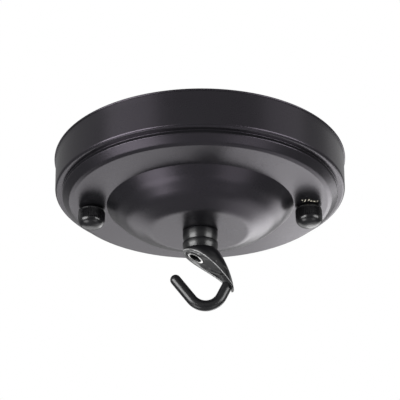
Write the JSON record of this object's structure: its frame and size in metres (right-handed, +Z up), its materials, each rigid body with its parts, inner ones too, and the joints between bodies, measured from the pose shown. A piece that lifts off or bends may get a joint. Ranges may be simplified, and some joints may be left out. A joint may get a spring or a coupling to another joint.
{
  "type": "light fixture ceiling canopy",
  "caption": "Round black ceiling canopy with a stepped shoulder, domed centre, knurled cap nuts and a cast hook for a hanging light.",
  "frame": {"origin": "centre of the crossbar's top face, where the canopy's axis meets the ceiling", "axes": "+Z up into the ceiling along the canopy's axis, X along the crossbar and through both cap nuts, the hook opens towards -X"},
  "size_m": [0.108, 0.108, 0.057],
  "materials": {
    "canopy_paint": "satin black paint over drawn steel",
    "nut_paint": "semi-gloss black paint over turned brass, chipped at the right nut's upper edge",
    "hook_paint": "semi-gloss black paint over cast zinc",
    "zinc_steel": "bright zinc-plated steel",
    "brass": "plain brass"
  },
  "bodies": {
    "bracket": {"crossbar": "zinc_steel", "fixing_screw_left": "zinc_steel", "fixing_screw_right": "zinc_steel", "fixing_lock_nut_left": "zinc_steel", "fixing_lock_nut_right": "zinc_steel", "earth_screw": "brass", "earth_washer": "zinc_steel"},
    "cover": {"canopy": "canopy_paint", "threaded_tube": "zinc_steel", "toothed_washer": "zinc_steel", "tube_nut": "zinc_steel", "hook": "hook_paint"},
    "nut_left": {"cap_nut_left": "nut_paint"},
    "nut_right": {"cap_nut_right": "nut_paint"}
  },
  "joints": [
    {"name": "canopy_drop", "type": "slide", "parent": "bracket", "child": "cover", "axis": [0, 0, -1], "range_m": [0, 0.0042]},
    {"name": "nut_left_turn", "type": "hinge", "parent": "cover", "child": "nut_left", "pos_m": [-0.0397, 0, -0.021], "axis": [0, 0, -1], "range_deg": [0, 2160]},
    {"name": "nut_right_turn", "type": "hinge", "parent": "cover", "child": "nut_right", "pos_m": [0.0397, 0, -0.021], "axis": [0, 0, -1], "range_deg": [0, 2160]}
  ],
  "couplings": [
    {"joint": "nut_left_turn", "follows": "canopy_drop", "rad_per_m": 8976},
    {"joint": "nut_right_turn", "follows": "canopy_drop", "rad_per_m": 8976}
  ]
}
